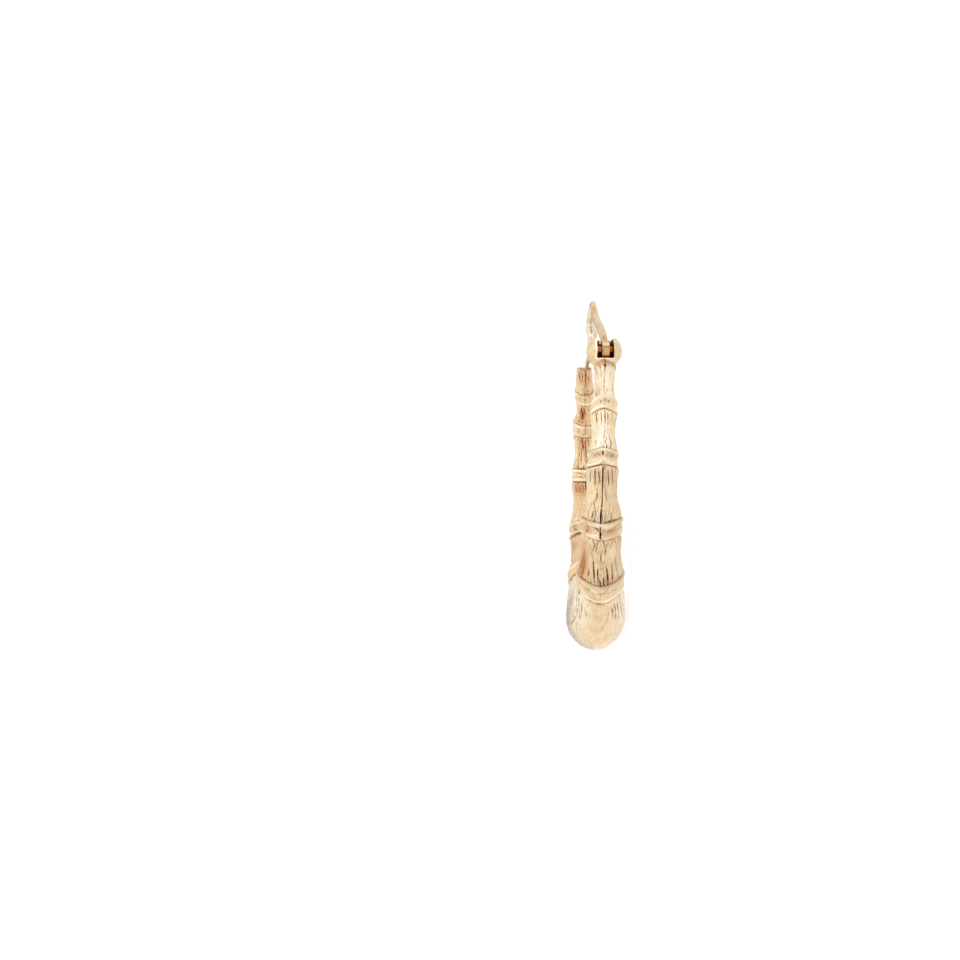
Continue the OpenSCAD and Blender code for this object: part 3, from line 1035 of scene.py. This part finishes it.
def hinge_ball():
    """The soldered ball with its slot, its edges softened by tumbling."""
    polar = np.linspace(BALL_POLE, np.pi - BALL_POLE, BALL_ROWS)[:, None]
    turn = np.linspace(0, 2 * np.pi, BALL_SIDES, endpoint=False)
    out = np.sin(polar)
    ball = np.stack([out * np.cos(turn), np.cos(polar) + 0 * turn, -out * np.sin(turn)], -1)
    piece = new_piece("hinge_ball", grid_mesh("ball", BALL_R * ball + BALL_AT))
    low = (BALL_AT[0] - BALL_R, BALL_AT[1] + BALL_FLAT, BALL_AT[2] - BALL_R)
    cut_away(piece, box_mesh("top", low, [2 * REACH] * 3, Matrix.Identity(4)))
    for mesh in slot_boxes():
        cut_away(piece, mesh)
    cut_away(piece, rod_mesh("bore", PIN_HOLE_R, REACH, at_hinge()))
    softened(piece, BALL_VOXEL, BALL_TUMBLED)
    points = mesh_points(piece.data)
    middle = np.array(BALL_AT)
    depth = BALL_R - np.linalg.norm(points - middle, axis=1)
    on_top = points[:, 1] > BALL_AT[1] + BALL_FLAT - TOP_UNSHADED
    over_floor = points[:, 1] - PIN_AT[1] - SLOT_FLOOR
    # painted shade on the slot's walls, kept off its floor and the ball's flat top
    dark = smooth_step(depth, SLOT_DARK_FROM, SLOT_DARK_FULL) * (1 - on_top)
    dark = dark * smooth_step(over_floor, *FLOOR_UNSHADED)
    skin = depth < SLOT_DARK_FROM
    # painted orange reflection on the ball's outer skin
    spot = np.linalg.norm(points - middle - BALL_R * np.array(REFLECTION_AT), axis=1)
    # painted highlight round the slot's mouth
    from_wall = np.abs(points[:, 2] - BALL_AT[2]) - SLOT_W / 2
    from_mouth = np.where(points[:, 0] > BALL_AT[0], np.maximum(from_wall, -over_floor), SLOT_RIM)
    set_attribute(piece.data, "grain", points)
    set_attribute(piece.data, "tarnish_and_shade", np.maximum(dark, streaks(points, BALL_STREAKS, BALL_SEED)))
    set_attribute(piece.data, "painted_warm_reflection", BALL_REFLECTION * skin * np.exp(-((spot / REFLECTION_REACH) ** 2)))
    set_attribute(piece.data, "polish_and_highlight", 1 - smooth_step(from_mouth, 0.5 * SLOT_RIM, SLOT_RIM))
    piece.data.transform(lay_down())
    return smooth(piece)


def spline(rows, steps):
    """A smooth line through the rows of a table, with every column carried along."""
    rows = np.array(rows)
    line = []
    for k in range(len(rows) - 1):
        p0, p1, p2, p3 = rows[max(k - 1, 0)], rows[k], rows[k + 1], rows[min(k + 2, len(rows) - 1)]
        for t in np.arange(steps) / steps:
            bend = (2 * p0 - 5 * p1 + 4 * p2 - p3) * t ** 2 + (3 * p1 - p0 - 3 * p2 + p3) * t ** 3
            line.append((2 * p1 + (p2 - p0) * t + bend) / 2)
    return np.array(line + [rows[-1]])


# Depth and size of the hammer's dents in the snap kink, and where the kink is: behind the pin and
# over it, between these distances
HAMMER_DEPTH = 0.08
HAMMER_SIZE = 0.5
KINK_BEHIND = (9.2, 10.2)
KINK_OVER = (0.6, 1.6)
# How far behind the pin the latch turns from tan to whitish
LATCH_PALE = (7.5, 11)
# Where the latch's eye has a painted highlight and where it has a painted dark reflection, a line, both
# in degrees over its front and half width, how dark that line is, and how far from the eye's skin they
# reach in and out
EYE_HIGHLIGHT = (36, 11)
EYE_DARK_REFLECTION = (14, 7)
EYE_REFLECTION_DARK = 0.6
EYE_IN = (0.15, 0.05)
EYE_OUT = (0.05, 0.2)
# Where the latch darkens in and round its bore, and where the arm has a painted orange reflection, by
# distance from the pin
BORE_DARK = (0.3, 0.45)
ARM_REFLECTION = 0.5
ARM_REFLECTION_TO = (0.5, 2.5)


def latch_bar():
    """The latch: a barrel eye, an arch over the ear's gap, a snap kink and a thin tip."""
    line = spline(LATCH_LINE, LATCH_STEPS)
    run = np.gradient(line[:, :2], axis=0)
    run /= np.linalg.norm(run, axis=1)[:, None]
    side = np.stack([-run[:, 1], run[:, 0], 0 * run[:, 0]], -1)
    turn = 2 * np.pi * (np.arange(LATCH_SIDES) + 0.5) / LATCH_SIDES
    wide = np.sign(np.cos(turn)) * np.abs(np.cos(turn)) ** LATCH_SQUARENESS
    thick = -np.sign(np.sin(turn)) * np.abs(np.sin(turn)) ** LATCH_SQUARENESS
    middle = np.stack([line[:, 0], line[:, 1], 0 * line[:, 0]], -1)[:, None, :]
    points = middle + (line[:, 2, None] / 2 * wide)[..., None] * side[:, None, :]
    points[..., 2] += line[:, 3, None] / 2 * thick - line[:, 4, None]
    piece = new_piece("latch", grid_mesh("latch", points))
    combined(piece, rod_mesh("eye", EYE_R, EYE_W / 2, Matrix.Identity(4)), "UNION")
    softened(piece, LATCH_VOXEL, LATCH_TUMBLED)
    cut_away(piece, rod_mesh("bore", PIN_HOLE_R, REACH, Matrix.Identity(4)))
    points = mesh_points(piece.data)
    from_pin = np.hypot(points[:, 0], points[:, 1])
    far = smooth_step(-points[:, 0], *LATCH_PALE)
    flat = smooth_step(-points[:, 0], *KINK_BEHIND) * smooth_step(points[:, 1], *KINK_OVER)
    hammered = HAMMER_DEPTH * flat
    points[:, 0] += hammered * soft_noise(points, HAMMER_SIZE, HAMMER_SEEDS[0])
    points[:, 2] += hammered * soft_noise(points, HAMMER_SIZE, HAMMER_SEEDS[1])
    piece.data.vertices.foreach_set("co", points.ravel())
    set_attribute(piece.data, "grain", points)
    lean = np.degrees(np.arctan2(points[:, 1], points[:, 0]))
    on_eye = smooth_step(from_pin, EYE_R - EYE_IN[0], EYE_R - EYE_IN[1])
    on_eye = on_eye * (1 - smooth_step(from_pin, EYE_R + EYE_OUT[0], EYE_R + EYE_OUT[1]))
    # painted highlight and painted dark reflection on the eye
    painted_highlight, dark_reflection = (
        on_eye * np.exp(-(((lean - at) / wide) ** 2)) for at, wide in (EYE_HIGHLIGHT, EYE_DARK_REFLECTION)
    )
    # darker in and round the bore, and brown wear streaks
    worn = np.maximum(1 - smooth_step(from_pin, *BORE_DARK), streaks(points, LATCH_STREAKS, LATCH_SEED))
    set_attribute(piece.data, "tarnish_and_shade", np.maximum(worn, EYE_REFLECTION_DARK * dark_reflection))
    # painted orange reflection near the pin
    set_attribute(piece.data, "painted_warm_reflection", ARM_REFLECTION * (1 - smooth_step(from_pin, *ARM_REFLECTION_TO)))
    set_attribute(piece.data, "polish_and_highlight", np.maximum(far, painted_highlight))
    piece.data.transform(lay_down() @ at_hinge())
    return smooth(piece)


def linear(hex_colour):
    """Turns an sRGB hex colour to linear RGBA."""
    values = [int(hex_colour[i:i + 2], 16) / 255 for i in (1, 3, 5)]
    return [v / 12.92 if v <= 0.04045 else ((v + 0.055) / 1.055) ** 2.4 for v in values] + [1]


def add(tree, kind, inputs=None, **settings):
    """Adds a node. inputs holds a value for a socket, or the socket that feeds it."""
    new = tree.nodes.new(kind)
    for name, value in settings.items():
        setattr(new, name, value)
    for name, value in (inputs or {}).items():
        if isinstance(value, bpy.types.NodeSocket):
            tree.links.new(value, new.inputs[name])
        else:
            new.inputs[name].default_value = value
    return new


def new_material(name):
    """An empty material and its node tree."""
    material = bpy.data.materials.new(name)
    material.use_nodes = True
    material.node_tree.nodes.clear()
    return material, material.node_tree


# Patterns of the gold's surface, in millimetres: blotches, brush lines and the satin grit. The grit
# is drawn coarser than the real one, so that it shows.
BLOTCH = 0.9
BRUSH_PITCH = 0.16
BRUSH_LEN = 2.2
GRIT = 0.07


def gold(name, pale, warm, painted_warm_reflection, highlight_tint, stain_and_shade, rough, brush, grit):
    """A gold surface: its colours, with painted warm reflections, painted highlights, and tarnish with
    painted shade mixed in, its roughness where plain, polished and stained, and the depths of its brush
    lines and its grit in mm."""
    material, tree = new_material(name)
    grain = add(tree, "ShaderNodeAttribute", attribute_name="grain").outputs["Vector"]
    tarnish_and_shade, warm_reflection_share, polish_and_highlight = (
        add(tree, "ShaderNodeAttribute", attribute_name=field).outputs["Fac"]
        for field in ("tarnish_and_shade", "painted_warm_reflection", "polish_and_highlight")
    )
    blotch = add(tree, "ShaderNodeTexNoise", {"Vector": grain, "Scale": 1 / BLOTCH, "Detail": 3.0})
    colour = linear(pale)
    # mixes in random tone, painted warm reflection, painted highlight, and tarnish with painted shade
    for share, tint in ((blotch.outputs["Fac"], warm), (warm_reflection_share, painted_warm_reflection), (polish_and_highlight, highlight_tint), (tarnish_and_shade, stain_and_shade)):
        mixed = add(tree, "ShaderNodeMix", {
            "Factor": share, "A": colour, "B": linear(tint)}, data_type="RGBA")
        colour = mixed.outputs["Result"]
    plain, polished, stained = rough
    roughness = plain
    for share, value in ((polish_and_highlight, polished), (tarnish_and_shade, stained)):
        mixed = add(tree, "ShaderNodeMix", {
            "Factor": share, "A": roughness, "B": value}, data_type="FLOAT")
        roughness = mixed.outputs["Result"]
    stretched = add(tree, "ShaderNodeVectorMath", {
        0: grain, 1: (1 / BRUSH_LEN, 1 / BRUSH_PITCH, 1 / BRUSH_PITCH)}, operation="MULTIPLY")
    lines = add(tree, "ShaderNodeTexNoise", {
        "Vector": stretched.outputs["Vector"], "Scale": 1.0, "Detail": 2.0})
    speck = add(tree, "ShaderNodeTexNoise", {"Vector": grain, "Scale": 1 / GRIT, "Detail": 1.0})
    brushed = add(tree, "ShaderNodeBump", {
        "Height": lines.outputs["Fac"], "Distance": brush * MM, "Strength": 1.0})
    gritty = add(tree, "ShaderNodeBump", {
        "Height": speck.outputs["Fac"], "Distance": grit * MM, "Strength": 1.0,
        "Normal": brushed.outputs["Normal"]})
    shader = add(tree, "ShaderNodeBsdfPrincipled", {
        "Base Color": colour, "Metallic": 1.0, "Roughness": roughness, "Normal": gritty.outputs["Normal"]})
    add(tree, "ShaderNodeOutputMaterial", {"Surface": shader.outputs["BSDF"]})
    return material


def satin_gold():
    """14 karat yellow gold, stamped, tumbled and left satin: creamy, with ridges made smoother and painted
    paler as highlights, painted orange reflections in its hollows, and brown creases that are partly
    patina and partly painted shade."""
    return gold("satin_yellow_gold", "#F8E8C4", "#DCBC90", "#D4935A", "#FFF5E2", "#85562F",
                (0.24, 0.14, 0.45), 0.018, 0.006)


def tumbled_gold():
    """The same gold, tumbled bright on the ball: its slot painted dark red-brown as shade, its mouth pale.
    """
    return gold("tumbled_yellow_gold", "#F2E2BE", "#D9BE94", "#D2A06A", "#FFF4DE", "#7A3418",
                (0.14, 0.1, 0.5), 0.02, 0.004)


def latch_wire_gold():
    """Drawn gold wire: tan by the hinge with a painted orange reflection, a painted highlight and a
    painted dark reflection on its eye, and whitish towards its far end."""
    return gold("latch_gold_wire", "#E0C496", "#D0AA7A", "#C49464", "#E2D6BE", "#6B3A1C",
                (0.2, 0.22, 0.4), 0.01, 0.003)


# Lines that the drawing plate left along the pin: pitch and depth in millimetres, and length in pitches
DRAWN_PITCH = 0.05
DRAWN_DEPTH = 0.003
DRAWN_RUN = 20


def pin_gold():
    """Gold wire drawn through a plate: fine lines along it, and its colour painted dark red-brown as
    shade, for it sits in the slot.
    """
    material, tree = new_material("drawn_gold_painted_dark")
    place = add(tree, "ShaderNodeTexCoord").outputs["Object"]
    scale = 1 / (DRAWN_PITCH * MM)
    across = add(tree, "ShaderNodeVectorMath", {
        0: place, 1: (scale, scale, scale / DRAWN_RUN)}, operation="MULTIPLY")
    lines = add(tree, "ShaderNodeTexNoise", {
        "Vector": across.outputs["Vector"], "Scale": 1.0, "Detail": 1.0})
    # dark red-brown all over: painted shade, for the pin sits in the slot
    colour = add(tree, "ShaderNodeMix", {
        "Factor": lines.outputs["Fac"], "A": linear("#BC7844"), "B": linear("#8C4C28")}, data_type="RGBA")
    drawn = add(tree, "ShaderNodeBump", {
        "Height": lines.outputs["Fac"], "Distance": DRAWN_DEPTH * MM, "Strength": 1.0})
    shader = add(tree, "ShaderNodeBsdfPrincipled", {
        "Base Color": colour.outputs["Result"], "Metallic": 1.0, "Roughness": 0.3,
        "Normal": drawn.outputs["Normal"]})
    add(tree, "ShaderNodeOutputMaterial", {"Surface": shader.outputs["BSDF"]})
    return material


def opal_stage():
    """Opal acrylic with a little light behind it, which keeps the shadows pale."""
    material, tree = new_material("opal_acrylic")
    shader = add(tree, "ShaderNodeBsdfPrincipled", {
        "Base Color": linear("#939393"), "Roughness": 0.8, "Specular IOR Level": 0.0,
        "Emission Color": (1, 1, 1, 1), "Emission Strength": 0.8})
    add(tree, "ShaderNodeOutputMaterial", {"Surface": shader.outputs["BSDF"]})
    return material


# The camera of the photograph: its place from the hoop's middle, how far it looks up, and its lens
CAMERA_AT = (218.86, -10.49, 10.98)
CAMERA_PITCH = 2.8
FOCAL_PX = 2288
PHOTO_PX = 960
SENSOR = 36


def photo_camera():
    """The camera at the photograph's angle to the earring."""
    pitch = math.radians(CAMERA_PITCH)
    right = Vector((0, 0, -1))
    up = Vector((math.sin(pitch), math.cos(pitch), 0))
    back = right.cross(up)
    turn = Matrix((right, up, back)).transposed().to_4x4()
    place = lay_down() @ Matrix.Translation(CAMERA_AT) @ turn
    data = bpy.data.cameras.new("camera")
    data.sensor_width = SENSOR
    data.lens = SENSOR * FOCAL_PX / PHOTO_PX
    data.clip_start = 0.01
    camera = bpy.data.objects.new("camera", data)
    aim = place.to_quaternion().to_matrix().to_4x4()
    camera.matrix_world = Matrix.Translation(place.translation) @ aim
    bpy.context.scene.collection.objects.link(camera)
    bpy.context.scene.camera = camera


# The white tent round the earring: its wall as the camera sees it, its even light, and where that is
# brighter or dimmer. Columns: direction, how narrow, how much brighter
TENT_WALL = 1.1
TENT_LIGHT = 1.12
TENT_PATCHES = (
    ((0.6, 0.8, 0.0), 6, 0.35),
    ((0.92, 0.38, 0.1), 24, 1.2),
    ((0.1, 0.1, 1), 4, 0.25),
    ((0.97, -0.15, 0.0), 8, -0.55),
    ((0.6, -0.8, 0.0), 4, -0.15),
    ((-1, 0, 0), 14, -0.75),
)
FLOOR_HALF = 2


def studio():
    """A pale floor in a white tent, brighter above the earring and dim round the camera."""
    corners = [(x * FLOOR_HALF, y * FLOOR_HALF, 0) for x, y in ((-1, -1), (1, -1), (1, 1), (-1, 1))]
    mesh = bpy.data.meshes.new("floor")
    mesh.from_pydata(corners, [], [(0, 1, 2, 3)])
    floor = new_piece("floor", mesh)
    floor.data.materials.append(opal_stage())
    world = bpy.data.worlds.new("white_tent")
    world.use_nodes = True
    tree = world.node_tree
    direction = add(tree, "ShaderNodeTexCoord").outputs["Generated"]
    light = TENT_LIGHT
    for toward, narrow, brighter in TENT_PATCHES:
        facing = add(tree, "ShaderNodeVectorMath", {0: direction, 1: Vector(toward).normalized()},
                     operation="DOT_PRODUCT")
        front = add(tree, "ShaderNodeMath", {0: facing.outputs["Value"], 1: 0.0}, operation="MAXIMUM")
        spot = add(tree, "ShaderNodeMath", {0: front.outputs[0], 1: narrow}, operation="POWER")
        patch = add(tree, "ShaderNodeMath", {
            0: spot.outputs[0], 1: brighter, 2: light}, operation="MULTIPLY_ADD")
        light = patch.outputs[0]
    seen = add(tree, "ShaderNodeLightPath").outputs["Is Camera Ray"]
    wall = add(tree, "ShaderNodeMix", {"Factor": seen, "A": light, "B": TENT_WALL}, data_type="FLOAT")
    tree.links.new(wall.outputs["Result"], tree.nodes["Background"].inputs["Strength"])
    tree.nodes["Background"].inputs["Color"].default_value = (1, 1, 1, 1)
    bpy.context.scene.world = world
    bpy.context.scene.view_settings.view_transform = "Standard"


photo_camera()
studio()

legs_finish = satin_gold()
for piece in (front_leg(), belly(), back_leg()):
    piece.data.materials.append(legs_finish)
    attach(piece, "hoop")
    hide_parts("bamboo_hoop")

ball = hinge_ball()
ball.data.materials.append(tumbled_gold())
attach(ball, "hoop")
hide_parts("bamboo_hoop")

latch = latch_bar()
latch.data.materials.append(latch_wire_gold())
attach(latch, "latch")
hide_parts("latch_bar")

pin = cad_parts["hinge_pin"]
pin.data.materials.clear()
pin.data.materials.append(pin_gold())
